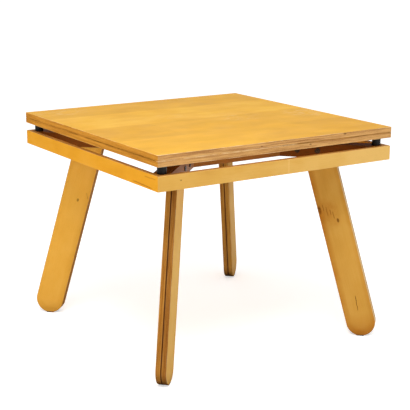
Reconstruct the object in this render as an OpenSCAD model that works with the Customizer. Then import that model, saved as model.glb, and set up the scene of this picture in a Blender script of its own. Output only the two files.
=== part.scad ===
// Square fold-over dining table. The double top swivels a quarter turn on its
// frame and its upper leaf then folds out to twice the length.
// Origin: on the floor under the middle of the table, +Z up, front towards -Y.

/* [Top] */
// Side of the square top
leaf_side = 900; // [750:10:1200]
// Height of the closed table
table_h = 732; // [600:1:900]
// Thickness of the boards in the leaves, frame and legs
ply_t = 18; // [15:0.5:22]
// Running gap between the two folded leaves
leaf_gap = 0.3; // [0.2:0.1:1]

/* [Frame] */
// Height of the frame boards
frame_h = 47; // [39:1:70]
// How far the frame stands in from the edge of the top
frame_inset = 1; // [0:1:20]
// Thickness of the cheek boards on both sides of each corner bar
cheek_t = 9; // [6:0.5:12]
// Length of corner bar on the inner side of the swivel point
bar_tail = 48; // [40:1:60]
// Diameter of the dowels that hold the inner rails
dowel_d = 6; // [4:0.5:7]
// Depth of a dowel in the inner rail
dowel_in_rail = 9; // [6:0.5:10]
// Depth of a dowel in the corner bar
dowel_in_bar = 20; // [10:1:24]
// Wood left between a dowel and the cheek beside it
dowel_wall = 0.7; // [0.5:0.1:2]
// Radial play of fixed pins, screws and bolts in their holes
hole_fit = 0.05; // [0.02:0.01:0.1]

/* [Legs] */
// Width of a leg, across its length
leg_w = 100; // [80:1:120]
// Outward lean of a leg from upright, in degrees
leg_lean = 15.5; // [8:0.5:19]
// Distance from the swivel point to the leg bolt, along the corner bar
leg_from_swivel = 79; // [74:1:95]
// Distance from the swivel point to the bar bolt, along the corner bar
bar_bolt_from_swivel = 10.6; // [9.5:0.1:11.5]
// Gap between a leg's edges and the blocks beside it
leg_fit = 0.2; // [0.1:0.1:0.5]
// Diameter of the bolt heads and sleeve nut heads
bolt_head_d = 18; // [14:0.5:20]
// Height of the bolt heads
bolt_head_h = 3; // [2:0.5:4]
// Outer diameter of the sleeve nuts, which fill the bolt holes
sleeve_d = 8; // [7:0.5:9.5]
// Diameter of the bolt thread inside the sleeve nuts
thread_d = 6; // [4:0.5:6]
// Height cut off the round end of a leg to make a flat foot
foot_cut = 2; // [1:0.5:5]
// Thickness of the foot pads
pad_t = 2; // [1:0.5:4]
// Bare wood left around a foot pad
pad_margin = 1; // [0.5:0.5:3]

/* [Posts] */
// Height of the posts between frame and top
post_h = 27; // [20:1:40]
// Diameter of the posts
post_d = 29; // [24:1:34]
// Gap between a post and the frame boards beside it
post_side_gap = 0.5; // [0.2:0.1:3]
// Diameter of the screws that hold posts and swivel block
wood_screw_d = 4.5; // [3:0.5:5]
// Diameter of the heads of those screws
wood_screw_head_d = 9; // [7:0.5:10]
// Gap between the top and what it slides over
slide_gap = 0.3; // [0.2:0.1:0.6]

/* [Swivel] */
// Diameter of the swivel bolt
spindle_d = 8; // [6:0.5:10]
// Radial play of the swivel bolt in its block
spindle_fit = 0.08; // [0.02:0.01:0.1]
// Diameter of the swivel block
block_d = 50; // [40:1:54]
// Side of the square swivel plate
swivel_plate_w = 64; // [56:1:80]
// Thickness of the swivel plate
swivel_plate_t = 3; // [2:0.5:4]
// Diameter of the hole under the bar for the lock nut
nut_recess_d = 24; // [22:1:28]
// Depth of the hole under the bar for the lock nut
nut_recess_h = 12; // [11:0.5:13]

/* [Hinges] */
// Number of hinges along the folding edge
hinge_count = 3; // [2:1:5]
// Distance from the end of the folding edge to the first hinge's middle
hinge_inset = 120; // [60:5:200]
// Length of a hinge
hinge_len = 64; // [50:1:80]
// Width of a hinge plate, from the pin
hinge_w = 26; // [20:1:34]
// Thickness of a hinge plate
hinge_t = 1.5; // [1:0.25:2]
// Radius of the knuckles
knuckle_r = 3; // [2.5:0.25:4]
// Diameter of the hinge pins
hinge_pin_d = 3; // [2:0.25:3.5]

/* [Hidden] */
$fn = 96;
CORNERS = ["front_left", "front_right", "back_right", "back_left"];
SIDES = ["front", "right", "back", "left"];
SWIVEL_CORNER = 2;

// Heights
frame_top = table_h - 2 * ply_t - leaf_gap - post_h;
frame_bottom = frame_top - frame_h;
bolt_z = frame_bottom + frame_h / 2;
lower_z = frame_top + post_h;
fold_z = lower_z + ply_t + leaf_gap / 2;

// Plan of the frame
frame_half = leaf_side / 2 - frame_inset;
inner_half = frame_half - ply_t;
corner_d = inner_half * sqrt(2);
swivel_d = leaf_side / 4 * sqrt(2);
bar_end = swivel_d - bar_tail;
bar_half = ply_t + cheek_t;
ring_half = (bar_end + bar_half) / sqrt(2);
dowel_side = ply_t - dowel_wall - dowel_d / 2;
bar_bolt_d = swivel_d + bar_bolt_from_swivel;
leg_bolt_d = swivel_d + leg_from_swivel;
post_at = (inner_half - post_side_gap - post_d / 2) * sqrt(2);

// Legs
leg_r = leg_w / 2;
leg_edge = leg_r / cos(leg_lean);
foot_z = pad_t + leg_r - foot_cut;
foot_flat = sqrt(leg_r * leg_r - (leg_r - foot_cut) * (leg_r - foot_cut));
pad_pin_d = 3;
pad_pin_h = 12;
pad_edge_r = 1;

// Fasteners
sleeve_len = 30;
socket_af = 5;
socket_depth = 2;
bolt_dome = 0.6;
post_counterbore = 12;
post_screw_len = 30;
block_screw_wall = 1.75;
block_screw_side = ply_t - block_screw_wall - wood_screw_d / 2;
block_screw_len = 42;
block_screw_sink = 3;
head_h = 3;
slot_w = 0.9;
slot_depth = 0.8;
washer_d = 20;
washer_t = 1.6;
lock_nut_af = 13;
lock_nut_h = 8;
spindle_head_d = 20;
spindle_head_h = 3;
spindle_end = 1;
plate_corner_r = 6;
plate_screw_d = 4;
plate_screw_head_d = 8;
plate_screw_len = 14;
plate_screw_inset = 10;

// Hinges
hinge_x = leaf_side / 2 + leaf_gap / 2;
knuckles = 5;
knuckle_len = hinge_len / knuckles;
knuckle_gap = 0.15;
knuckle_relief = 0.4;
hinge_head_d = 4.8;
hinge_head_h = 0.8;
hinge_screw_d = 3;
hinge_screw_head_d = 6.4;
hinge_screw_len = 13;
hinge_screw_side = 22;
recess_fit = 0.2;
cut = 1;

function leg_x(z) = leg_bolt_d + (bolt_z - z) * tan(leg_lean);
function hinge_y(i) = (i / (hinge_count - 1) - 0.5) * (leaf_side - 2 * hinge_inset);
function corner_nodes(name) = [for (c = CORNERS) str(name, "_", c)];
function pair_nodes(name) = [for (c = CORNERS, k = [1, 2]) str(name, "_", c, "_", k)];
function side_nodes(name) = [for (s = SIDES) str(name, "_", s)];

BIRCH = "burlywood";
BIRCH_TOP = "goldenrod";
BLACK = [0.08, 0.08, 0.08];
BRASS = "darkkhaki";
STEEL = "silver";
DARK_STEEL = [0.2, 0.19, 0.18];

// ---------- places ----------

// Turns a piece drawn along +X so that it lies along the diagonal of corner i
module at_corner(i) {
    rotate([0, 0, 225 + 90 * i]) children();
}

// Turns a piece drawn for the front side to side i
module at_side(i) {
    rotate([0, 0, 90 * i]) children();
}

// The swivel axis, which crosses the back right corner bar
module at_swivel() {
    at_corner(SWIVEL_CORNER) translate([swivel_d, 0, 0]) children();
}

module at_hinges() {
    for (i = [0 : hinge_count - 1])
        translate([hinge_x, hinge_y(i), fold_z]) children();
}

// Extrudes a side profile, drawn as (along the diagonal, height), between y0 and y1
module upright(y0, y1) {
    translate([0, y1, 0]) rotate([90, 0, 0]) linear_extrude(y1 - y0) children();
}

// ---------- holes and screws ----------

// A round hole or pin across a corner bar
module across(x, r) {
    translate([x, 0, bolt_z]) rotate([90, 0, 0])
        cylinder(h = 2 * (bar_half + cut), r = r, center = true);
}

module bolt_holes() {
    across(leg_bolt_d, sleeve_d / 2 + hole_fit);
    across(bar_bolt_d, sleeve_d / 2 + hole_fit);
}

module dowels(play) {
    for (side = [-1, 1])
        translate([bar_end - dowel_in_rail - play, side * dowel_side, bolt_z]) rotate([0, 90, 0])
            cylinder(h = dowel_in_rail + dowel_in_bar + 2 * play, r = dowel_d / 2 + play);
}

// A screw that points down from z = 0 with its flat head's top there
module flat_head_screw(d, head_d, cone_h, len) {
    difference() {
        union() {
            translate([0, 0, -cone_h]) cylinder(h = cone_h, d1 = d, d2 = head_d);
            translate([0, 0, -len]) cylinder(h = len - cone_h, d = d);
        }
        screw_cross(head_d * 0.6);
    }
}

module screw_cross(len) {
    for (turn = [0, 90])
        rotate([0, 0, turn]) translate([-len / 2, -slot_w / 2, -slot_depth])
            cube([len, slot_w, slot_depth + cut]);
}

// The hole that such a screw fills, with play on every side
module flat_head_hole(d, head_d, cone_h, len) {
    translate([0, 0, -cone_h])
        cylinder(h = cone_h, d1 = d + 2 * hole_fit, d2 = head_d + 2 * hole_fit);
    translate([0, 0, -len - hole_fit]) cylinder(h = len, d = d + 2 * hole_fit);
}

// ---------- top ----------

module leaf_blank(z) {
    translate([-leaf_side / 2, -leaf_side / 2, z]) cube([leaf_side, leaf_side, ply_t]);
}

// Seats cut in a leaf for its hinge plates. side is 1 for the upper leaf and -1 for the lower
module hinge_seats(side) {
    at_hinges() {
        rotate([90, 0, 0])
            cylinder(h = hinge_len + 2 * (hinge_head_h + cut), r = knuckle_r + knuckle_relief, center = true);
        scale([1, 1, side]) {
            translate([-hinge_w - recess_fit, -hinge_len / 2 - recess_fit, 0])
                cube([hinge_w + recess_fit + cut, hinge_len + 2 * recess_fit, leaf_gap / 2 + hinge_t]);
            hinge_screw_places()
                cylinder(h = leaf_gap / 2 + hinge_screw_len + hole_fit, d = hinge_screw_d + 2 * hole_fit);
        }
    }
}

module leaf_upper() {
    color(BIRCH_TOP) difference() {
        leaf_blank(fold_z + leaf_gap / 2);
        hinge_seats(1);
    }
}

module leaf_lower() {
    color(BIRCH_TOP) difference() {
        leaf_blank(lower_z);
        hinge_seats(-1);
        at_swivel() translate([0, 0, lower_z]) {
            translate([0, 0, -cut])
                cylinder(h = spindle_head_h + hole_fit + cut, d = spindle_head_d + 2 * recess_fit);
            plate_screw_places() translate([0, 0, -cut])
                cylinder(h = plate_screw_len - swivel_plate_t + hole_fit + cut, d = plate_screw_d + 2 * hole_fit);
        }
    }
}

// ---------- frame ----------

module apron(i) {
    color(BIRCH) at_side(i) translate([0, 0, frame_bottom]) linear_extrude(frame_h) polygon([
        [-frame_half, -frame_half],
        [frame_half, -frame_half],
        [inner_half, -inner_half],
        [-inner_half, -inner_half]
    ]);
}

// Both ends are mitred and sit on the square inner ends of two corner bars
module inner_rail(i) {
    long = bar_end * sqrt(2) - ring_half;
    color(BIRCH) difference() {
        at_side(i) translate([0, 0, frame_bottom]) linear_extrude(frame_h) polygon([
            [-long, -ring_half],
            [long, -ring_half],
            [long + ply_t, ply_t - ring_half],
            [-long - ply_t, ply_t - ring_half]
        ]);
        for (c = [i, (i + 1) % 4]) at_corner(c) dowels(hole_fit);
    }
}

// Thin board beside the leg. side is 1 or -1
module bar_cheek(i, side) {
    color(BIRCH) at_corner(i) difference() {
        scale([1, side, 1]) translate([0, 0, frame_bottom]) linear_extrude(frame_h) polygon([
            [bar_end, ply_t],
            [corner_d - ply_t, ply_t],
            [corner_d - bar_half, bar_half],
            [bar_end, bar_half]
        ]);
        bolt_holes();
    }
}

// Block between the cheeks from the leg to the corner of the frame
module bar_outer_block(i) {
    bottom = leg_x(frame_bottom) + leg_edge + leg_fit;
    top = leg_x(frame_top) + leg_edge + leg_fit;
    color(BIRCH) at_corner(i) difference() {
        intersection() {
            upright(-ply_t, ply_t) polygon([
                [bottom, frame_bottom],
                [corner_d + cut, frame_bottom],
                [corner_d + cut, frame_top],
                [top, frame_top]
            ]);
            translate([0, 0, frame_bottom]) linear_extrude(frame_h) polygon([
                [swivel_d, -ply_t],
                [corner_d - ply_t, -ply_t],
                [corner_d, 0],
                [corner_d - ply_t, ply_t],
                [swivel_d, ply_t]
            ]);
        }
        post_place() translate([0, 0, post_h - slide_gap - post_counterbore - post_screw_len - hole_fit])
            cylinder(h = post_screw_len, d = wood_screw_d + 2 * hole_fit);
    }
}

// Block between the cheeks from the leg to the inner end of the bar
module bar_inner_block(i) {
    color(BIRCH) at_corner(i) difference() {
        upright(-ply_t, ply_t) polygon([
            [bar_end, frame_bottom],
            [leg_x(frame_bottom) - leg_edge - leg_fit, frame_bottom],
            [leg_x(frame_top) - leg_edge - leg_fit, frame_top],
            [bar_end, frame_top]
        ]);
        across(bar_bolt_d, sleeve_d / 2 + hole_fit);
        dowels(hole_fit);
        if (i == SWIVEL_CORNER) translate([swivel_d, 0, 0]) {
            translate([0, 0, frame_bottom - cut])
                cylinder(h = frame_h + 2 * cut, d = spindle_d + 2 * spindle_fit);
            translate([0, 0, frame_bottom - cut])
                cylinder(h = nut_recess_h + cut, d = nut_recess_d);
            block_screw_places() translate([0, 0, block_top() - block_screw_len - hole_fit])
                cylinder(h = block_screw_len, d = wood_screw_d + 2 * hole_fit);
        }
    }
}

module rail_dowels() {
    color(BIRCH) for (i = [0 : 3]) at_corner(i) dowels(0);
}

// ---------- legs ----------

module leg_outline() {
    difference() {
        union() {
            translate([leg_x(foot_z), foot_z]) circle(leg_r);
            polygon([
                [leg_x(foot_z) - leg_r * cos(leg_lean), foot_z - leg_r * sin(leg_lean)],
                [leg_x(foot_z) + leg_r * cos(leg_lean), foot_z + leg_r * sin(leg_lean)],
                [leg_x(frame_top) + leg_edge, frame_top],
                [leg_x(frame_top) - leg_edge, frame_top]
            ]);
        }
        translate([leg_x(foot_z) - leg_r, pad_t - leg_r]) square([leg_w, leg_r]);
    }
}

// One of the two boards of a leg. side is 1 or -1
module leg_board(i, side) {
    color(BIRCH) at_corner(i) difference() {
        scale([1, side, 1]) upright(0, ply_t) leg_outline();
        across(leg_bolt_d, sleeve_d / 2 + hole_fit);
        pad_pins(hole_fit);
    }
}

module pad_pins(play) {
    for (side = [-1, 1])
        translate([leg_x(foot_z), side * ply_t / 2, pad_t / 2])
            cylinder(h = pad_t / 2 + pad_pin_h + play, r = pad_pin_d / 2 + play);
}

module foot_pad(i) {
    half = [foot_flat - pad_margin, ply_t - pad_margin];
    color(BLACK) at_corner(i) {
        translate([leg_x(foot_z), 0, 0]) linear_extrude(pad_t) union() {
            square([2 * half.x, 2 * (half.y - pad_edge_r)], center = true);
            square([2 * (half.x - pad_edge_r), 2 * half.y], center = true);
            for (x = [-1, 1], y = [-1, 1])
                translate([x * (half.x - pad_edge_r), y * (half.y - pad_edge_r)]) circle(pad_edge_r);
        }
        pad_pins(0);
    }
}

// ---------- leg bolts ----------

module bolt_places() {
    for (i = [0 : 3], x = [leg_bolt_d, bar_bolt_d])
        at_corner(i) translate([x, 0, bolt_z]) rotate([90, 0, 0]) children();
}

// A low domed head that stands on z = 0
module bolt_head() {
    rotate_extrude() polygon([
        [0, 0],
        [bolt_head_d / 2, 0],
        [bolt_head_d / 2, bolt_head_h - bolt_dome],
        [bolt_head_d / 2 - bolt_dome, bolt_head_h],
        [0, bolt_head_h]
    ]);
}

module socket() {
    translate([0, 0, bolt_head_h - socket_depth])
        cylinder(h = socket_depth + cut, d = socket_af / cos(30), $fn = 6);
}

module leg_bolts() {
    color(DARK_STEEL) bolt_places() difference() {
        union() {
            translate([0, 0, bar_half]) bolt_head();
            translate([0, 0, sleeve_len - bar_half - sleeve_len / 2])
                cylinder(h = 2 * bar_half - sleeve_len / 2, d = thread_d);
        }
        translate([0, 0, bar_half]) socket();
    }
}

module leg_sleeve_nuts() {
    color(DARK_STEEL) bolt_places() difference() {
        union() {
            translate([0, 0, -bar_half]) mirror([0, 0, 1]) bolt_head();
            translate([0, 0, -bar_half - cut]) cylinder(h = sleeve_len + cut, d = sleeve_d);
        }
        translate([0, 0, sleeve_len / 2 - bar_half - hole_fit])
            cylinder(h = sleeve_len, d = thread_d + 2 * hole_fit);
        translate([0, 0, -bar_half]) mirror([0, 0, 1]) socket();
    }
}

// ---------- posts ----------

// Drawn along +X of a corner, standing on the corner bar
module post_place() {
    translate([post_at, 0, frame_top]) children();
}

module post(i) {
    tall = post_h - slide_gap;
    color(BLACK) at_corner(i) post_place() difference() {
        cylinder(h = tall, d = post_d);
        translate([0, 0, -cut]) cylinder(h = tall + 2 * cut, d = wood_screw_d + 2 * hole_fit);
        translate([0, 0, tall - post_counterbore])
            cylinder(h = post_counterbore + cut, d = wood_screw_head_d + 2);
    }
}

module post_screws() {
    color(STEEL) for (i = [0 : 3])
        at_corner(i) post_place() translate([0, 0, post_h - slide_gap - post_counterbore]) difference() {
            union() {
                cylinder(h = head_h, d = wood_screw_head_d);
                translate([0, 0, -post_screw_len]) cylinder(h = post_screw_len + cut, d = wood_screw_d);
            }
            translate([0, 0, head_h]) screw_cross(wood_screw_head_d * 0.6);
        }
}

// ---------- swivel ----------

function block_top() = frame_top + post_h - swivel_plate_t - slide_gap;

module block_screw_places() {
    for (side = [-1, 1]) translate([0, side * block_screw_side, 0]) children();
}

module swivel_block() {
    color(BLACK) at_swivel() difference() {
        translate([0, 0, frame_top]) cylinder(h = block_top() - frame_top, d = block_d);
        translate([0, 0, frame_top - cut])
            cylinder(h = post_h + cut, d = spindle_d + 2 * spindle_fit);
        block_screw_places() translate([0, 0, block_top()])
            flat_head_hole(wood_screw_d, wood_screw_head_d, block_screw_sink, block_screw_len);
    }
}

module swivel_block_screws() {
    color(STEEL) at_swivel() block_screw_places() translate([0, 0, block_top()])
        flat_head_screw(wood_screw_d, wood_screw_head_d, block_screw_sink, block_screw_len);
}

module plate_screw_places() {
    reach = swivel_plate_w / 2 - plate_screw_inset;
    for (x = [-1, 1], y = [-1, 1]) translate([x * reach, y * reach, 0]) children();
}

// Moves with the top and holds the swivel bolt's head up in the lower leaf
module swivel_plate() {
    half = swivel_plate_w / 2;
    color(STEEL) at_swivel() translate([0, 0, lower_z - swivel_plate_t]) difference() {
        linear_extrude(swivel_plate_t) union() {
            square([2 * half, 2 * (half - plate_corner_r)], center = true);
            square([2 * (half - plate_corner_r), 2 * half], center = true);
            for (x = [-1, 1], y = [-1, 1])
                translate([x * (half - plate_corner_r), y * (half - plate_corner_r)]) circle(plate_corner_r);
        }
        translate([0, 0, -cut]) cylinder(h = swivel_plate_t + 2 * cut, d = spindle_d + 2 * hole_fit);
        plate_screw_places() mirror([0, 0, 1])
            flat_head_hole(plate_screw_d, plate_screw_head_d, swivel_plate_t, swivel_plate_t + cut);
    }
}

module swivel_plate_screws() {
    color(STEEL) at_swivel() translate([0, 0, lower_z - swivel_plate_t]) plate_screw_places()
        mirror([0, 0, 1])
            flat_head_screw(plate_screw_d, plate_screw_head_d, swivel_plate_t, plate_screw_len);
}

module swivel_bolt() {
    bottom = frame_bottom + nut_recess_h - washer_t - slide_gap - lock_nut_h - spindle_end;
    color(STEEL) at_swivel() {
        translate([0, 0, lower_z]) cylinder(h = spindle_head_h, d = spindle_head_d);
        translate([0, 0, bottom]) cylinder(h = lower_z - bottom + cut, d = spindle_d);
    }
}

module swivel_washer() {
    color(STEEL) at_swivel() translate([0, 0, frame_bottom + nut_recess_h - washer_t]) difference() {
        cylinder(h = washer_t, d = washer_d);
        translate([0, 0, -cut]) cylinder(h = washer_t + 2 * cut, d = spindle_d + 2 * spindle_fit);
    }
}

// Turns with the swivel bolt, just clear of the washer
module swivel_lock_nut() {
    top = frame_bottom + nut_recess_h - washer_t - slide_gap;
    color(STEEL) at_swivel() translate([0, 0, top - lock_nut_h]) difference() {
        cylinder(h = lock_nut_h, d = lock_nut_af / cos(30), $fn = 6);
        translate([0, 0, -cut]) cylinder(h = lock_nut_h + 2 * cut, d = spindle_d + 2 * hole_fit);
    }
}

// ---------- hinges, drawn about the pin, with the plates towards -X ----------

module hinge_screw_places() {
    for (y = [-hinge_screw_side, 0, hinge_screw_side]) translate([-hinge_w * 0.6, y, 0]) children();
}

module knuckle(k, r, gap) {
    translate([0, (k - (knuckles - 1) / 2) * knuckle_len, 0]) rotate([90, 0, 0])
        cylinder(h = knuckle_len + 2 * gap, r = r, center = true);
}

// side is 1 for the upper plate, with the even knuckles, and -1 for the lower plate
module hinge_plate(side) {
    own = side > 0 ? [1 : 2 : knuckles - 1] : [0 : 2 : knuckles - 1];
    other = side > 0 ? [0 : 2 : knuckles - 1] : [1 : 2 : knuckles - 1];
    difference() {
        union() {
            difference() {
                scale([1, 1, side]) translate([-hinge_w, -hinge_len / 2, leaf_gap / 2])
                    cube([hinge_w, hinge_len, hinge_t]);
                for (k = other) knuckle(k, knuckle_r + knuckle_gap, knuckle_gap);
            }
            for (k = own) knuckle(k, knuckle_r, -knuckle_gap);
        }
        rotate([90, 0, 0])
            cylinder(h = hinge_len + 2 * cut, d = hinge_pin_d + 2 * hole_fit, center = true);
        scale([1, 1, side]) translate([0, 0, leaf_gap / 2]) hinge_screw_places() mirror([0, 0, 1])
            flat_head_hole(hinge_screw_d, hinge_screw_head_d, hinge_t, hinge_t + cut);
    }
}

module hinge_plates_upper() {
    color(BRASS) at_hinges() hinge_plate(1);
}

module hinge_plates_lower() {
    color(BRASS) at_hinges() hinge_plate(-1);
}

module hinge_pins() {
    color(BRASS) at_hinges() rotate([90, 0, 0]) {
        cylinder(h = hinge_len + 2 * knuckle_gap, d = hinge_pin_d, center = true);
        for (side = [-1, 1]) translate([0, 0, side * (hinge_len / 2 + knuckle_gap + hinge_head_h / 2)])
            cylinder(h = hinge_head_h, d = hinge_head_d, center = true);
    }
}

module hinge_screws(side) {
    color(BRASS) at_hinges() scale([1, 1, side]) translate([0, 0, leaf_gap / 2]) hinge_screw_places()
        mirror([0, 0, 1])
            flat_head_screw(hinge_screw_d, hinge_screw_head_d, hinge_t, hinge_screw_len);
}

// ---------- nodes ----------

leaf_upper();
leaf_lower();
for (i = [0 : 3]) {
    apron(i);
    inner_rail(i);
    bar_cheek(i, 1);
    bar_cheek(i, -1);
    bar_outer_block(i);
    bar_inner_block(i);
    leg_board(i, 1);
    leg_board(i, -1);
    foot_pad(i);
    post(i);
}
leg_bolts();
leg_sleeve_nuts();
rail_dowels();
post_screws();
swivel_block();
swivel_block_screws();
swivel_plate();
swivel_plate_screws();
swivel_bolt();
swivel_washer();
swivel_lock_nut();
hinge_plates_upper();
hinge_plates_lower();
hinge_pins();
hinge_screws(1);  // hinge_screws_upper
hinge_screws(-1);  // hinge_screws_lower
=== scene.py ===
"""Fold-over dining table in honey-coloured birch plywood: its finishes, floor, lamps and camera."""

import math

import bpy
from mathutils import Matrix, Vector


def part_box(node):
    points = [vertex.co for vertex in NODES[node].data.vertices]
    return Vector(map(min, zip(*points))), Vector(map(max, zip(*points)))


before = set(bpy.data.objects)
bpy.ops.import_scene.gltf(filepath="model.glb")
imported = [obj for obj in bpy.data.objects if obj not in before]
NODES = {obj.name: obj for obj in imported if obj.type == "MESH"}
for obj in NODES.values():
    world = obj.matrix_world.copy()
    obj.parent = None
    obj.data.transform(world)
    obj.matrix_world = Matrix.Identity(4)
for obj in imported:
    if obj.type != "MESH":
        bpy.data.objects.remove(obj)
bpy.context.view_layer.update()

CORNERS = ("front_left", "front_right", "back_right", "back_left")
SIDES = ("front", "right", "back", "left")

# ---------- sizes, in metres ----------

TOP_LOW, TOP_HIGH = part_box("leaf_upper")
HALF_TOP = (TOP_HIGH.x - TOP_LOW.x) / 2
BOARD = TOP_HIGH.z - TOP_LOW.z  # thickness of one board
SEAM = (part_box("leaf_lower")[1].z + TOP_LOW.z) / 2  # height at which the two leaves meet
PLY = BOARD / 13
APRON_LOW, APRON_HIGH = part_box("apron_front")
APRON_LONG = APRON_HIGH.x - APRON_LOW.x
APRON_MIDDLE = (APRON_LOW.z + APRON_HIGH.z) / 2
LEG_WIDE = 0.1
LEAN = math.radians(15.5)  # of a leg, from upright
FOOT_CUT = 0.002  # taken off the round end of a leg to seat its pad
UP = Vector((0, 0, 1))


# ---------- shader maths ----------


class Wire:
    """A value, colour or vector on its way through a material."""

    def __init__(self, recipe, socket):
        self.recipe = recipe
        self.socket = socket

    def maths(self, operation, *values):
        return self.recipe.maths(operation, *values)

    def __add__(self, other):
        return self.maths("ADD", self, other)

    def __sub__(self, other):
        return self.maths("SUBTRACT", self, other)

    def __rsub__(self, other):
        return self.maths("SUBTRACT", other, self)

    def __mul__(self, other):
        return self.maths("MULTIPLY", self, other)

    def __truediv__(self, other):
        return self.maths("DIVIDE", self, other)

    def __gt__(self, other):
        return self.maths("GREATER_THAN", self, other)

    def __lt__(self, other):
        return self.maths("LESS_THAN", self, other)

    def __abs__(self):
        return self.maths("ABSOLUTE", self)

    __radd__ = __add__
    __rmul__ = __mul__


class Recipe:
    """A material and the nodes it is mixed from."""

    def __init__(self, name, tree=None):
        if tree is None:
            self.material = bpy.data.materials.new(name)
            self.material.use_nodes = True
            tree = self.material.node_tree
        self.tree = tree
        self.tree.nodes.clear()
        self.coords = self.node("ShaderNodeTexCoord")

    def node(self, kind, settings=None, inputs=None, out=0):
        """Adds a node. Its settings go in first, a ramp's stops among them, then its inputs."""
        made = self.tree.nodes.new(kind)
        for key, value in (settings or {}).items():
            if key == "stops":
                self.set_stops(made.color_ramp, value)
            else:
                setattr(made, key, value)
        for key, value in (inputs or {}).items():
            if isinstance(value, Wire):
                self.tree.links.new(value.socket, made.inputs[key])
            else:
                made.inputs[key].default_value = value
        return Wire(self, made.outputs[out] if made.outputs else None)

    @staticmethod
    def set_stops(ramp, stops):
        while len(ramp.elements) < len(stops):
            ramp.elements.new(1.0)
        for element, (place, colour) in zip(ramp.elements, stops, strict=True):
            element.position = place
            element.color = colour

    def maths(self, operation, *values):
        return self.node("ShaderNodeMath", {"operation": operation}, dict(enumerate(values)))

    def place(self):
        return Wire(self, self.coords.socket.node.outputs["Object"])

    def facing(self):
        return Wire(self, self.coords.socket.node.outputs["Normal"])

    def along(self, vector, direction):
        """How far a vector reaches in one direction."""
        settings = {"operation": "DOT_PRODUCT"}
        return self.node("ShaderNodeVectorMath", settings, {0: vector, 1: direction}, out="Value")

    def vector(self, x, y, z):
        return self.node("ShaderNodeCombineXYZ", None, {"X": x, "Y": y, "Z": z})

    def noise(self, vector, scale, detail=3.0, rough=0.5, bend=0.0):
        inputs = {
            "Vector": vector,
            "Scale": scale,
            "Detail": detail,
            "Roughness": rough,
            "Distortion": bend,
        }
        return self.node("ShaderNodeTexNoise", None, inputs)

    def ramp(self, value, *stops):
        """Passes a value through stops of (place, level)."""
        grey = [(place, (level, level, level, 1)) for place, level in stops]
        return self.node("ShaderNodeValToRGB", {"stops": grey}, {"Fac": value})

    def shade(self, value, *stops):
        """Turns a value into a colour through stops of (place, colour)."""
        colours = [(place, paint(colour)) for place, colour in stops]
        return self.node("ShaderNodeValToRGB", {"stops": colours}, {"Fac": value})

    def mix(self, first, second, mask, how="MIX"):
        """Goes from the first colour to the second where the mask is 1."""
        inputs = {0: mask}
        for key, colour in ((6, first), (7, second)):
            inputs[key] = colour if isinstance(colour, Wire) else paint(colour)
        return self.node("ShaderNodeMix", {"data_type": "RGBA", "blend_type": how}, inputs, out=2)

    def bump(self, height, depth):
        return self.node("ShaderNodeBump", None, {"Height": height, "Strength": 1.0, "Distance": depth})

    def surface(self, **inputs):
        """Ends the recipe in a shader. Names of sockets are written with _ for a space."""
        named = {key.replace("_", " "): value for key, value in inputs.items()}
        for key, value in named.items():
            if isinstance(value, str):
                named[key] = paint(value)
        shader = self.node("ShaderNodeBsdfPrincipled", None, named)
        self.node("ShaderNodeOutputMaterial", None, {"Surface": shader})
        return self.material


def paint(colour):
    """A colour written as on a paint card, such as 'eec86a', as linear light."""
    if not isinstance(colour, str):
        return colour
    levels = [int(colour[i : i + 2], 16) / 255 for i in (0, 2, 4)]
    linear = [v / 12.92 if v <= 0.04045 else ((v + 0.055) / 1.055) ** 2.4 for v in levels]
    return (*linear, 1.0)


# ---------- wood ----------

BROWN = "3c1a06"  # knots, cracks and the dirt between the leaves
SEAM_SHADE_AND_DIRT = "4a1c02"  # painted shade and dirt in the groove between the two boards of a leg
FOOT_SHADE_AND_DIRT = "1c0e06"  # the feet's end grain: a painted contact shadow, and dirt from the floor
PALE_WEAR_AND_HIGHLIGHT = "f4dcae"  # scratched lacquer and chipped arrises, and a painted highlight along the rounded arrises
FLECK = "b47a2c"  # the short ticks of birch
RUST = "b56a18"  # lacquer that has darkened along the rims of the legs
DEEP_RUST_AND_SHADE = "5a2c0c"  # the same where it is oldest, small knots, and the colour of painted shade on the legs
RUST_STREAK = "84420e"  # short stripes beside a knot


def grain_places(recipe, grain, side, start=(0, 0, 0)):
    """Distances along the grain and across it from a starting point, in metres."""
    run = recipe.along(recipe.place(), grain) - Vector(start).dot(grain)
    width = recipe.along(recipe.place(), side) - Vector(start).dot(side)
    return run, width


def streaky(recipe, run, width, seed, along, across, detail=3.0, rough=0.5, bend=0.0):
    """Noise with so many features a metre along the grain, and so many across it."""
    return recipe.noise(recipe.vector(run * along, width * across, seed), 1.0, detail, rough, bend)


def fibres(recipe, run, width, seed):
    """Fine hair-like lines of the wood, from 0 to 1."""
    return streaky(recipe, run, width, seed, along=12, across=420, rough=0.6)


def figure(recipe, run, width, seed):
    """Broad flame-shaped lines of a rotary-cut veneer, from 0 to 1."""
    return streaky(recipe, run, width, seed + 5, along=3.2, across=15, detail=4.0, bend=0.9)


def clouds(recipe, run, width, seed):
    """Soft, broad changes of tone, from 0 to 1."""
    return streaky(recipe, run, width, seed + 9, along=8, across=11)


def flecks(recipe, run, width, seed):
    """Short dark ticks along the grain: 1 in a tick, 0 elsewhere."""
    ticks = streaky(recipe, run, width, seed + 3, along=90, across=700, detail=1.0, rough=0.4)
    return recipe.ramp(ticks, (0.64, 0.0), (0.76, 1.0))


def veneer(recipe, run, width, seed, tones, shift=0.0):
    """Colour of a birch face. shift lightens or darkens it, and may vary over the face."""
    tone = 0.5 + (figure(recipe, run, width, seed) - 0.5) * 0.34
    tone = tone + (clouds(recipe, run, width, seed) - 0.5) * 0.6
    tone = tone + (fibres(recipe, run, width, seed) - 0.5) * 0.3 + shift
    colour = recipe.shade(tone, (0.15, tones[0]), (0.5, tones[1]), (0.85, tones[2]))
    return recipe.mix(colour, FLECK, flecks(recipe, run, width, seed) * 0.22)


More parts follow.
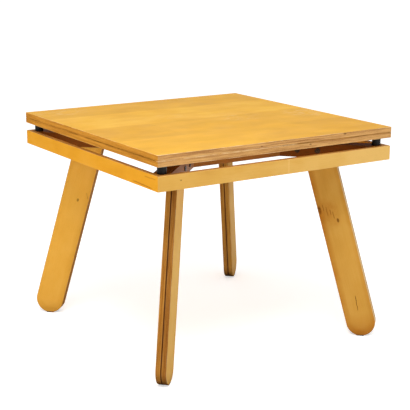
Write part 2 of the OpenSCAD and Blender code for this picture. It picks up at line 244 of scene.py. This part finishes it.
def layered(recipe, place, seed, within, through, detail, rough):
    """Noise in thin sheets: so many features a metre within a ply, and so many through the board."""
    run, width, deep = place
    sheets = recipe.vector(run * within, width * within, deep * through + seed)
    return recipe.noise(sheets, 1.0, detail, rough)


def plies(recipe, place, seed, light, dark):
    """Colour of a cut edge: thin plies that lie with and across the edge by turns.
    place is how far along the grain, across it and through the board."""
    depth = place[2] + 0.5  # from half a metre back, so that it is never below 0
    wave = recipe.maths("PINGPONG", depth / PLY, 1.0)
    layer = recipe.ramp(wave, (0.35, 0.0), (0.65, 1.0))
    streak = layered(recipe, place, seed, within=16, through=700, detail=3.0, rough=0.65)
    band = layered(recipe, place, seed, within=5, through=170, detail=2.0, rough=0.5)
    pores = layered(recipe, place, seed, within=420, through=500, detail=2.0, rough=0.5)
    tone = 0.35 + layer * 0.3 + (streak - 0.5) * 1.1 + (band - 0.5) * 1.0
    tone = tone + (pores - 0.5) * layer * 0.7
    return recipe.shade(tone, (0.25, dark), (0.75, light))


def spot(recipe, run, width, at, size):
    """A soft oval patch: 1 in the middle, 0 past its rim. at and size are along and across."""
    x = (run - at[0]) / size[0]
    y = (width - at[1]) / size[1]
    return recipe.ramp(x * x + y * y, (0.3, 1.0), (1.0, 0.0))


def line(recipe, run, width, start, end, thick):
    """A thin mark that wanders a little between two points of a face."""
    reach = Vector((end[0] - start[0], end[1] - start[1]))
    step = reach.normalized()
    wander = (recipe.noise(recipe.place(), 60.0, 2.0) - 0.5) * 0.004
    far = (run - start[0]) * step.x + (width - start[1]) * step.y
    off = abs((width - start[1]) * step.x - (run - start[0]) * step.y + wander) / thick
    ends = abs(far / reach.length - 0.5) * 2
    return recipe.ramp(off, (0.4, 1.0), (1.0, 0.0)) * recipe.ramp(ends, (0.75, 1.0), (1.0, 0.0))


def stain(recipe, colour, marks):
    """Tints a colour at each mark, which is a mask, its strength and its tint."""
    for mask, strength, tint in marks:
        colour = recipe.mix(colour, tint, mask * strength)
    return colour


def arris(recipe, facing):
    """1 on the rounded corner between a face and an edge, 0 on both of them."""
    turned = abs(recipe.along(recipe.facing(), facing))
    return recipe.ramp(turned, (0.08, 0.0), (0.3, 1.0), (0.85, 1.0), (0.98, 0.0))


def lacquered(recipe, colour, height, dull=0.0):
    """Ends a wood recipe in worn satin lacquer."""
    rub = recipe.noise(recipe.place(), 7.0, 4.0, 0.6)
    gloss = 0.4 + (rub - 0.5) * 0.22 + dull
    return recipe.surface(
        Base_Color=colour,
        Roughness=gloss,
        Specular_IOR_Level=0.01,
        Normal=recipe.bump(height, 0.0006),
    )


class Board:
    """A birch plywood board: veneer on its two faces, bare plies on its edges."""

    def __init__(self, name, grain, side, facing, seed, start=(0, 0, 0)):
        self.recipe = Recipe(name)
        self.run, self.width = grain_places(self.recipe, grain, side, start)
        self.deep = self.recipe.along(self.recipe.place(), facing)
        self.facing = facing
        self.seed = seed
        self.face = abs(self.recipe.along(self.recipe.facing(), facing)) > 0.7

    def spot(self, at, size):
        return spot(self.recipe, self.run, self.width, at, size)

    def line(self, start, end, thick):
        return line(self.recipe, self.run, self.width, start, end, thick)

    def plies(self, light, dark):
        return plies(self.recipe, (self.run, self.width, self.deep), self.seed, light, dark)

    def patches(self, scale, low=0.0):
        """Uneven wear: from low to 1, in soft patches."""
        rough = self.recipe.noise(self.recipe.place(), scale, 3.0, 0.6)
        return self.recipe.ramp(rough, (0.42, low), (0.62, 1.0))

    def done(self, tones, edge, shift=0.0, marks=(), edge_marks=(), grime_and_shade=(), rub=0.3):
        """The finished material. The marks lie on its faces, on its edges, or on both as grime and painted
        shade do.
        """
        recipe = self.recipe
        run = self.run + self.seed * 1.37  # so that no two boards are cut from the same stretch of veneer
        width = self.width + self.seed * 0.61
        shown = stain(recipe, veneer(recipe, run, width, self.seed, tones, shift), marks)
        colour = recipe.mix(stain(recipe, edge, edge_marks), shown, self.face)
        # The pale rounded arrises are a painted highlight, in patches, together with real rubbing.
        arris_highlight_and_wear = arris(recipe, self.facing) * self.patches(26.0, 0.2) * rub
        colour = stain(recipe, recipe.mix(colour, PALE_WEAR_AND_HIGHLIGHT, arris_highlight_and_wear), grime_and_shade)
        dull = (1 - self.face) * 0.08
        for mask, strength, _ in grime_and_shade:
            dull = dull + mask * strength * 0.4
        height = fibres(recipe, self.run, self.width, self.seed) * 0.12
        return lacquered(recipe, colour, height, dull)


# ---------- other finishes ----------


def black_plastic(name, rough, seed):
    recipe = Recipe(name)
    grit = recipe.noise(recipe.place(), 900.0, 2.0, 0.5)
    wear = recipe.noise(recipe.place(), 60.0 + seed, 3.0, 0.6)
    colour = recipe.shade(wear, (0.3, "070706"), (0.8, "131210"))
    return recipe.surface(
        Base_Color=colour,
        Roughness=rough + (wear - 0.5) * 0.2,
        Specular_IOR_Level=0.15,
        Normal=recipe.bump(grit, 0.0001),
    )


def metal(name, dark, light, rough, scratch_scale):
    recipe = Recipe(name)
    cloud = recipe.noise(recipe.place(), 45.0, 4.0, 0.6)
    scratch = recipe.noise(recipe.place(), scratch_scale, 2.0, 0.7)
    colour = recipe.shade(cloud, (0.3, dark), (0.75, light))
    return recipe.surface(
        Base_Color=colour,
        Metallic=1.0,
        Roughness=rough + (scratch - 0.5) * 0.25,
        Normal=recipe.bump(scratch, 0.00005),
    )


# ---------- finishes on the pieces ----------


def finish_piece(name, material):
    """Gives a piece its one material."""
    piece = NODES[name]
    piece.data.materials.clear()
    piece.data.materials.append(material)


def soften(name, radius, rings=3):
    """Rounds the arrises of a piece as sandpaper does."""
    piece = NODES[name]
    weld = piece.modifiers.new("weld", "WELD")
    weld.merge_threshold = 0.00001
    flat = piece.modifiers.new("flat faces", "DECIMATE")
    flat.decimate_type = "DISSOLVE"
    flat.angle_limit = math.radians(0.5)
    bevel = piece.modifiers.new("arris", "BEVEL")
    bevel.width = radius
    bevel.segments = rings
    bevel.limit_method = "ANGLE"
    bevel.angle_limit = math.radians(35)
    bevel.use_clamp_overlap = False
    bevel.loop_slide = False
    shade = piece.modifiers.new("shade", "WEIGHTED_NORMAL")
    shade.keep_sharp = False


def corner_frame(index):
    """Outward direction of a corner's diagonal, and the direction across it."""
    turn = math.radians(225 + 90 * index)
    return Vector((math.cos(turn), math.sin(turn), 0)), Vector((-math.sin(turn), math.cos(turn), 0))


# ---------- the top ----------

TOP_TONES = ("d59c36", "e8af3c", "f4c654")
FRONT_PLIES = ("deac6a", "98663a")
SIDE_PLIES = ("e29c38", "b07024")
SCUFFS = (  # middle and size, along and across, and strength
    ((0.4, -0.06), (0.1, 0.09), 0.5),
    ((0.13, -0.01), (0.12, 0.1), 0.26),
    ((-0.34, 0.37), (0.13, 0.06), 0.32),
    ((-0.06, 0.11), (0.07, 0.06), 0.2),
)
EDGE_KNOTS = {  # place along the front edge, height and half length
    "leaf_upper": ((-0.08, SEAM + 0.007, 0.005), (0.25, SEAM + 0.014, 0.008)),
    "leaf_lower": ((0.11, SEAM - 0.006, 0.006),),
}
FIRST_STRIP = -0.07  # tone of the front strip of veneer
NEXT_STRIPS = ((-0.212, -0.06), (0.019, 0.15), (0.257, -0.18))  # where each begins, and its change of tone
LEFT_END = -0.2  # the second strip is darker to the left of this
LEFT_END_DARKER = 0.07
RIGHT_END_DARKER = 0.16  # the front strip darkens by this towards its right end
FRONT_EDGE = 0.01 - HALF_TOP  # nearer to the front than this is the front edge
TOP_ARRIS = 0.0012


def strips(board):
    """Tone of the four strips of veneer that lie side by side along a leaf, front to back."""
    edge = board.width + 0.002 * board.recipe.maths("SINE", board.run * 9)
    tone = FIRST_STRIP
    for place, change in NEXT_STRIPS:
        tone = tone + (edge > place) * change
    second, third = NEXT_STRIPS[0][0], NEXT_STRIPS[1][0]
    left_end = (edge > second) * (edge < third) * (board.run < LEFT_END)
    rightward = board.recipe.ramp(board.run / HALF_TOP + 0.3, (0.1, 0.0), (0.45, 0.5), (1.0, 1.0))
    return tone - left_end * LEFT_END_DARKER - rightward * (edge < second) * RIGHT_END_DARKER


def scratches(board):
    """Fine pale scratches that lie roughly along the grain."""
    lines = streaky(board.recipe, board.run, board.width, 4.0, along=26, across=120, rough=0.6, bend=0.6)
    return board.recipe.ramp(lines, (0.5, 0.0), (0.7, 1.0))


def scuff_marks(board):
    """Scratched patches on the face that people eat from."""
    upward = board.recipe.along(board.recipe.facing(), UP) > 0.5
    return [(board.spot(at, size) * scratches(board) * upward, deep, PALE_WEAR_AND_HIGHLIGHT) for at, size, deep in SCUFFS]


def near_seam(board, reach):
    """1 at the height where the leaves meet, fading to 0 at a distance from it."""
    return board.recipe.ramp(abs(board.deep - SEAM) / reach, (0.3, 1.0), (1.0, 0.0))


def rubbed_front(board):
    """1 on the left half of the front edge, where hands and chairs rub it."""
    return (board.width < FRONT_EDGE) * (board.run < 0)


def seam_dirt(board):
    """Dark line where the two leaves meet, strong on some stretches and faint on others."""
    outline = board.recipe.maths("MAXIMUM", abs(board.run), abs(board.width)) > HALF_TOP - 0.0015
    return near_seam(board, 0.003) * outline * board.patches(9.0, 0.15) * (1 - rubbed_front(board))


def seam_chips(board):
    """Chipped, pale arrises along the left half of the front edge's seam."""
    front = (board.width < 0.0015 - HALF_TOP) * (board.run < 0.06)
    return near_seam(board, 0.0022) * front * board.patches(34.0)


def edge_knot(board, at, height, size):
    """A small knot in the front edge, at a place along it and a height."""
    recipe = board.recipe
    x = (board.run - at) / size
    y = (board.deep - height) / (size * 0.4)
    return recipe.ramp(x * x + y * y, (0.25, 1.0), (1.0, 0.0)) * (board.width < 0)


def finish_top():
    for seed, name in enumerate(("leaf_upper", "leaf_lower")):
        board = Board(name, Vector((1, 0, 0)), Vector((0, 1, 0)), UP, seed * 7.0)
        recipe = board.recipe
        side = abs(recipe.along(recipe.facing(), (1, 0, 0))) > 0.7
        edge = recipe.mix(board.plies(*FRONT_PLIES), board.plies(*SIDE_PLIES), side)
        scuffs = scuff_marks(board) if name == "leaf_upper" else []
        knots = [(edge_knot(board, *knot), 0.65, BROWN) for knot in EDGE_KNOTS[name]]
        dirt = [(seam_dirt(board), 0.5, BROWN), (seam_chips(board), 0.55, PALE_WEAR_AND_HIGHLIGHT)]
        # The pale arris, a painted highlight with rubbing, lies on the outer arrises and more strongly on
        # the rubbed front.
        outer = abs(board.deep - SEAM) > BOARD / 2
        rub = (outer + rubbed_front(board)) * 0.5
        finish_piece(name, board.done(TOP_TONES, edge, strips(board), scuffs, knots, dirt, rub))
        soften(name, TOP_ARRIS)


# ---------- the frame ----------

STRAW_WITH_SHEEN = ("c89344", "d5a450", "e0b466")  # front and back aprons: the amber wood with a painted whitish sheen
AMBER = ("de9420", "eca42a", "f5b040")  # left and right aprons
APRON_PLIES = ("d6a050", "98642c")
# Dark inner rails and their plies: painted shade under the top.
SHADED_RAIL_TONES = ("8c5828", "a06832", "b27840")
SHADED_RAIL_PLIES = ("a06832", "74481e")


def front_apron(board):
    """Tone and marks of the front apron: its veneer joints, a darker band, a paler right end, a knot."""
    along = board.run / APRON_LONG + 0.5
    shift = board.recipe.ramp(along, (0.45, 0.0), (1.0, 0.6))
    shift = shift - board.recipe.ramp(along, (0.655, 0.0), (0.665, 1.0), (0.855, 1.0), (0.865, 0.0)) * 0.05
    for joint in (0.53, 0.84):
        shift = shift + board.recipe.ramp(abs(along - joint) / 0.004, (0.4, 0.22), (1.0, 0.0))
    return shift, [(board.spot((-0.37, 0.004), (0.004, 0.003)), 0.5, BROWN)]


def left_apron(board):
    """Tone and marks of the left apron: two dark streaks at its front end."""
    upper = board.line((0.37, 0.011), (0.44, 0.013), 0.0024)
    lower = board.line((0.3, -0.014), (0.42, -0.018), 0.0024)
    return 0.0, [(upper, 0.5, RUST), (lower, 0.8, RUST)]


APRON_LOOKS = {"front": front_apron, "left": left_apron}


def finish_frame():
    for i, side in enumerate(SIDES):
        turn = math.radians(90 * i)
        grain = Vector((math.cos(turn), math.sin(turn), 0))
        facing = Vector((math.sin(turn), -math.cos(turn), 0))
        apron = Board(f"apron_{side}", grain, UP, facing, 11 + i, (0, 0, APRON_MIDDLE))
        shift, marks = APRON_LOOKS[side](apron) if side in APRON_LOOKS else (0.0, [])
        # the front and back aprons get a painted sheen
        tones = AMBER if side in ("left", "right") else STRAW_WITH_SHEEN
        finish_piece(f"apron_{side}", apron.done(tones, apron.plies(*APRON_PLIES), shift, marks))
        soften(f"apron_{side}", 0.001)
        rail = Board(f"rail_{side}", grain, UP, facing, 21 + i)
        finish_piece(f"inner_rail_{side}", rail.done(SHADED_RAIL_TONES, rail.plies(*SHADED_RAIL_PLIES)))
        soften(f"inner_rail_{side}", 0.0006)


# ---------- the bars and legs ----------

LEG_TONES = {
    "front_left": ("d8a44e", "e6b65e", "f0c470"),
    # darker than the other legs: painted shade
    "front_right": ("ba8638", "ce9942", "daa852"),
    "back_right": ("d8a24c", "e6b25c", "f0c26e"),
    "back_left": ("e2a43c", "eeb046", "f6be58"),
}
LEG_EDGES = {
    "front_left": (("ba8038", "824c1a"), ("c88c3c", "925a20")),
    # pale: a painted reflection on this leg's edges
    "front_right": (("ecd2a2", "c8a26c"), ("ecd2a2", "c8a26c")),
    "back_right": (("cc9444", "945e24"), ("d29c48", "9c6628")),
    "back_left": (("c48c3e", "8c561e"), ("d29c48", "9c6628")),
}
# How much each leg darkens towards its foot: painted shade.
LOW_SHADE = {"front_left": 0.26, "front_right": 0.16, "back_right": 0.18, "back_left": 0.18}
RIM_RUST = {"front_left": 0.1, "front_right": 0.75, "back_right": 0.2, "back_left": 0.12}
# Bars under the top are dark for painted shade, their plies too; the front left set is paler and pinker for
# a painted reflection.
BAR_TONES_SHADE_AND_SHEEN = {
    "front_left": ("86604a", "9c7458", "b08a6c"),
    "front_right": ("5e3010", "703c14", "824a1e"),
    "back_right": ("6a3c14", "80491c", "945c28"),
    "back_left": ("6a3c14", "80491c", "945c28"),
}
SHADED_BAR_PLIES = ("8a5826", "5c3414")
BAR_PIECES = ("bar_cheek_{}_1", "bar_cheek_{}_2", "bar_outer_block_{}", "bar_inner_block_{}")
LEG_ARRIS = 0.003


def front_right_marks(board):
    """A crack near the foot, and a knot, stripes and a chipped rim under the frame."""
    stripes = ((0.398, 0.422, -0.033), (0.377, 0.413, -0.023), (0.38, 0.4, -0.012), (0.364, 0.392, -0.005))
    marks = [
        (board.line((0.029, -0.002), (0.087, 0.001), 0.0013), 0.85, BROWN),
        (board.spot((0.357, 0.006), (0.009, 0.005)), 0.8, DEEP_RUST_AND_SHADE),
        (board.spot((0.404, -0.046), (0.018, 0.006)) * board.patches(160.0, 0.6), 0.95, BROWN),
        (board.spot((0.384, -0.022), (0.06, 0.045)) * board.patches(30.0, 0.3), 0.4, RUST),
    ]
    for foot_end, top_end, out in stripes:
        marks.append((board.line((foot_end, out), (top_end, out), 0.0022), 0.5, RUST_STREAK))
    return marks


def back_left_marks(board):
    """A small knot and a short scratch under the frame."""
    return [
        (board.spot((0.384, -0.014), (0.007, 0.005)), 0.6, DEEP_RUST_AND_SHADE),
        (board.line((0.42, -0.038), (0.398, -0.048), 0.0014), 0.4, DEEP_RUST_AND_SHADE),
    ]


# Marked legs, with the side of the leg that the marked board is on. Places of marks are measured up
# from the middle of the foot's round, and outward from the middle of the board.
LEG_MARKS = {("front_right", -1): front_right_marks, ("back_left", 1): back_left_marks}


def leg_rim(board):
    """1 along a leg's outline and round its foot, fading to 0 towards its middle."""
    below = board.recipe.maths("MINIMUM", board.run, 0.0)
    reach = board.recipe.maths("SQRT", below * below + board.width * board.width)
    return board.recipe.ramp(reach / LEG_WIDE, (0.3, 0.0), (0.5, 1.0))


def leg_rust(board, rim, strength):
    """Darkened lacquer along the rims, more on the inner one, and at the end of the foot."""
    inner = board.recipe.ramp(board.width / LEG_WIDE + 0.5, (0.4, 1.0), (0.6, 0.55))
    foot_end = board.recipe.ramp(board.run / LEG_WIDE + 0.5, (0.0, 1.0), (0.7, 0.0))
    return [(rim * inner * board.patches(11.0, 0.5), strength, RUST), (foot_end, strength * 0.55, RUST)]


def leg_grime(board, corner):
    """Painted shade low down on a leg, and painted shade with dirt between its boards and under its foot.
    """
    recipe = board.recipe
    height = recipe.along(recipe.place(), UP)
    # painted shade, darkening a leg towards its foot
    painted_low_shade = recipe.ramp(height / 0.6, (0.0, 1.0), (1.0, 0.0))
    # painted shade and dirt in the groove between the two boards
    seam = recipe.ramp(abs(board.deep) / 0.003, (0.4, 1.0), (1.0, 0.0))
    # painted contact shadow and floor dirt at the foot's end
    under_foot_shade_and_dirt = recipe.ramp(height / 0.05, (0.2, 1.0), (0.5, 0.45), (1.0, 0.0)) * board.patches(60.0, 0.7)
    grime_and_shade = [
        (painted_low_shade, LOW_SHADE[corner], DEEP_RUST_AND_SHADE),
        (seam, 0.94, SEAM_SHADE_AND_DIRT),
        (under_foot_shade_and_dirt * (1 - board.face * 0.75), 0.95, FOOT_SHADE_AND_DIRT),
    ]
    if corner == "back_right":  # painted shadow of the top: this leg darkens towards the top
        grime_and_shade.append((recipe.ramp(height, (0.33, 0.0), (0.48, 1.0)), 0.3, DEEP_RUST_AND_SHADE))
    return grime_and_shade


def foot_middle(corner):
    """Middle of the round end of a leg."""
    low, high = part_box(f"foot_pad_{corner}")
    sole = Vector(((low.x + high.x) / 2, (low.y + high.y) / 2, high.z))
    return sole + UP * (LEG_WIDE / 2 - FOOT_CUT)


def finish_bar(index, corner):
    out, across = corner_frame(index)
    bar = Board(f"bar_{corner}", out, UP, across, 31 + index)
    finish = bar.done(BAR_TONES_SHADE_AND_SHEEN[corner], bar.plies(*SHADED_BAR_PLIES))
    for piece in BAR_PIECES:
        finish_piece(piece.format(corner), finish)
        soften(piece.format(corner), 0.0005, 2)


def finish_leg_board(index, corner, number):
    out, across = corner_frame(index)
    up = UP * math.cos(LEAN) - out * math.sin(LEAN)
    wide = out * math.cos(LEAN) + UP * math.sin(LEAN)
    name = f"leg_board_{corner}_{number}"
    board = Board(name, up, wide, across, 41 + 2 * index + number, foot_middle(corner))
    low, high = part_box(name)
    side = 1 if (low + high).dot(across) > 0 else -1
    marks = LEG_MARKS[corner, side](board) if (corner, side) in LEG_MARKS else []
    rim = leg_rim(board)
    faces = leg_rust(board, rim, RIM_RUST[corner]) + marks
    edge = board.plies(*LEG_EDGES[corner][number - 1])
    grime_and_shade = leg_grime(board, corner)
    tone = 0.06 - rim * 0.16
    # The leg's arrises get a weaker painted highlight and rubbing.
    finish_piece(name, board.done(LEG_TONES[corner], edge, tone, faces, marks, grime_and_shade, rub=0.2))
    soften(name, LEG_ARRIS)


def finish_bars_and_legs():
    for index, corner in enumerate(CORNERS):
        finish_bar(index, corner)
        for number in (1, 2):
            finish_leg_board(index, corner, number)


# ---------- the fittings ----------


def finish_fittings():
    black = black_plastic("black_post", 0.3, 0.0)
    rubber = black_plastic("black_rubber", 0.6, 3.0)
    bronzed = metal("dark_bolts", "2a1d14", "4a3626", 0.42, 300.0)
    zinc = metal("zinc_plate", "8f908c", "b9b9b3", 0.38, 500.0)
    brass = metal("rolled_brass", "9c7634", "cfa65a", 0.34, 400.0)
    dowel = Board("dowels", UP, Vector((1, 0, 0)), Vector((0, 1, 0)), 61)
    for corner in CORNERS:
        finish_piece(f"post_{corner}", black)
        soften(f"post_{corner}", 0.0008)
        finish_piece(f"foot_pad_{corner}", rubber)
    for name in NODES:
        if name == "swivel_block":
            finish_piece(name, black)
        elif name.startswith("hinge_"):
            finish_piece(name, brass)
        elif name.startswith("swivel_") or name == "post_screws":
            finish_piece(name, zinc)
    for name in ("leg_bolts", "leg_sleeve_nuts"):
        finish_piece(name, bronzed)
    finish_piece("rail_dowels", dowel.done(("d6a866", "e0b677", "e8c288"), dowel.plies("d6a866", "b98646")))


finish_top()
finish_frame()
finish_bars_and_legs()
finish_fittings()


# ---------- room ----------

WALLS = 0.6  # brightness of the pale walls all round
FLOOR_GLOW = 0.5  # what the eye sees of the floor beyond the light it throws back
FLOOR_REACH = 30.0
LIT = Vector((0, 0, 0.5))  # what the lamps point at


def in_plain_sight(recipe):
    """1 for what the eye sees, straight or by a mirror or glass, and 0 for light on its way to things."""
    kinds = ("Is Camera Ray", "Is Glossy Ray", "Is Transmission Ray")
    rays = [recipe.node("ShaderNodeLightPath", out=kind) for kind in kinds]
    return recipe.maths("MAXIMUM", recipe.maths("MAXIMUM", rays[0], rays[1]), rays[2])


def grey(level):
    return (level, level, level, 1.0)


def lay_floor():
    """A wide white floor that shows plain white to the eye but keeps the table's shadow."""
    mesh = bpy.data.meshes.new("floor")
    corners = [(FLOOR_REACH * x, FLOOR_REACH * y, 0) for x, y in ((-1, -1), (1, -1), (1, 1), (-1, 1))]
    mesh.from_pydata(corners, [], [(0, 1, 2, 3)])
    floor = bpy.data.objects.new("floor", mesh)
    bpy.context.scene.collection.objects.link(floor)
    recipe = Recipe("floor")
    mottle = recipe.noise(recipe.place(), 2.0, 2.0, 0.5)
    colour = recipe.shade(mottle, (0.0, "f4f4f4"), (1.0, "fafafa"))
    glow = recipe.mix(grey(0.0), grey(FLOOR_GLOW), in_plain_sight(recipe))
    floor.data.materials.append(
        recipe.surface(Base_Color=colour, Roughness=0.9, Emission_Color=glow, Emission_Strength=1.0)
    )


def light_room():
    """Even white light from all round, as in a studio with pale walls."""
    world = bpy.data.worlds.new("studio")
    world.use_nodes = True
    bpy.context.scene.world = world
    recipe = Recipe(None, world.node_tree)
    colour = recipe.mix(grey(WALLS), grey(1.0), in_plain_sight(recipe))
    glow = recipe.node("ShaderNodeBackground", None, {"Color": colour, "Strength": 1.0})
    recipe.node("ShaderNodeOutputWorld", None, {"Surface": glow})


def hang_lamp(name, place, size, power):
    """A round lamp that shines on the middle of the table."""
    lamp = bpy.data.lights.new(name, "AREA")
    lamp.shape = "DISK"
    lamp.size = size
    lamp.energy = power
    holder = bpy.data.objects.new(name, lamp)
    holder.location = place
    holder.rotation_euler = (LIT - Vector(place)).to_track_quat("-Z", "Y").to_euler()
    bpy.context.scene.collection.objects.link(holder)


CAMERA_AT = (-2.0638, -3.1374, 1.3703)
CAMERA_TURN = math.radians(33.48)  # from looking along +Y
CAMERA_TILT = math.radians(14.05)  # down from level
CAMERA_ROLL = math.radians(0.31)
LENS = 97.8


def place_camera():
    """Long lens at standing height, looking down on the near left corner."""
    camera = bpy.data.objects.new("camera", bpy.data.cameras.new("camera"))
    camera.data.sensor_width = 36
    camera.data.lens = LENS
    camera.data.clip_end = 200
    aim = Matrix.Rotation(-CAMERA_TURN, 4, "Z") @ Matrix.Rotation(math.pi / 2 - CAMERA_TILT, 4, "X")
    camera.matrix_world = Matrix.Translation(CAMERA_AT) @ aim @ Matrix.Rotation(CAMERA_ROLL, 4, "Z")
    bpy.context.scene.collection.objects.link(camera)
    bpy.context.scene.camera = camera


lay_floor()
light_room()
hang_lamp("key", (-1.2, -1.6, 3.6), 2.0, 76)
hang_lamp("fill", (-3.6, -1.0, 2.2), 2.2, 18)
hang_lamp("low front", (0.6, -3.4, 0.8), 2.0, 12)
place_camera()
bpy.context.scene.view_settings.view_transform = "Standard"
